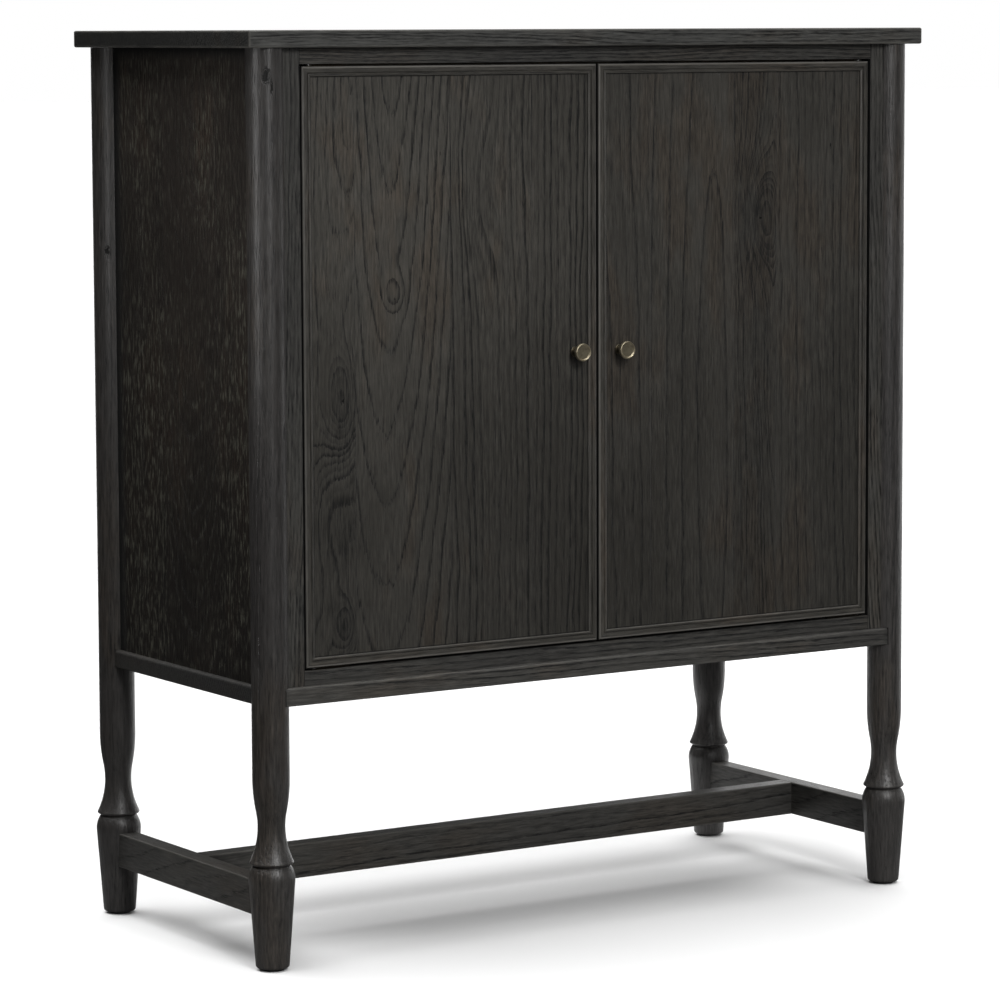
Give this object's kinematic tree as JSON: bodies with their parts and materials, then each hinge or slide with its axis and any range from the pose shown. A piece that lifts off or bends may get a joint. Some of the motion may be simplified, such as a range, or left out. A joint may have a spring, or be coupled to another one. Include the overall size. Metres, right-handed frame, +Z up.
{
  "type": "two-door storage cabinet",
  "caption": "Dark wooden cabinet with flush panelled doors on round turned corner posts, joined below by an H-shaped stretcher.",
  "frame": {"origin": "on the floor, at the middle of the footprint of the closed cabinet, knobs included", "axes": "+Z up, -Y towards a person facing the doors, +X to that person's right"},
  "size_m": [1.1, 0.5031, 1.24],
  "materials": {
    "oak_top": "near-black brushed oak, satin",
    "oak_door": "near-black brushed oak veneer, satin",
    "oak_moulding": "near-black brushed oak, satin",
    "oak_side": "near-black brushed oak veneer, satin",
    "oak_posts": "near-black turned oak, satin",
    "oak_frame": "near-black brushed oak, satin",
    "oak_inside": "dark stained oak, matt",
    "knob_brass": "aged brass, satin",
    "hinge_bronze": "dark bronzed, satin",
    "steel": "plain steel",
    "glide": "black, matt"
  },
  "bodies": {
    "case": {"top_panel": "oak_top", "post_front_left": "oak_posts", "post_front_right": "oak_posts", "post_back_left": "oak_posts", "post_back_right": "oak_posts", "bottom_board": "oak_frame", "side_panel_left": "oak_side", "side_panel_right": "oak_side", "back_panel": "oak_inside", "stile_left": "oak_frame", "stile_right": "oak_frame", "rail_top": "oak_frame", "rail_bottom": "oak_frame", "stop_strip": "oak_inside", "cleat_left": "oak_inside", "cleat_right": "oak_inside", "back_rail_top": "oak_inside", "back_rail_bottom": "oak_inside", "shelf_lower": "oak_inside", "shelf_upper": "oak_inside", "shelf_pins": "steel", "stretcher_left": "oak_frame", "stretcher_right": "oak_frame", "stretcher_long": "oak_frame", "foot_glides": "glide", "catch_magnets": "steel", "hinge_case_leaves": "hinge_bronze", "hinge_pins": "steel", "hinge_case_screws": "hinge_bronze", "top_screws": "steel", "back_screws": "steel"},
    "door_left": {"door_left_panel": "oak_door", "door_left_bead_top": "oak_moulding", "door_left_bead_bottom": "oak_moulding", "door_left_bead_hinge": "oak_moulding", "door_left_bead_meeting": "oak_moulding", "door_left_hinge_leaves": "hinge_bronze", "door_left_washers": "steel", "door_left_hinge_screws": "hinge_bronze", "door_left_knob": "knob_brass", "door_left_knob_screw": "steel", "door_left_strike": "steel"},
    "door_right": {"door_right_panel": "oak_door", "door_right_bead_top": "oak_moulding", "door_right_bead_bottom": "oak_moulding", "door_right_bead_hinge": "oak_moulding", "door_right_bead_meeting": "oak_moulding", "door_right_hinge_leaves": "hinge_bronze", "door_right_washers": "steel", "door_right_hinge_screws": "hinge_bronze", "door_right_knob": "knob_brass", "door_right_knob_screw": "steel", "door_right_strike": "steel"}
  },
  "joints": [
    {"name": "door_left_hinge", "type": "hinge", "parent": "case", "child": "door_left", "pos_m": [-0.451, -0.2236, 0.797], "axis": [0, 0, -1], "range_deg": [0, 110]},
    {"name": "door_right_hinge", "type": "hinge", "parent": "case", "child": "door_right", "pos_m": [0.451, -0.2236, 0.797], "axis": [0, 0, 1], "range_deg": [0, 110]}
  ]
}
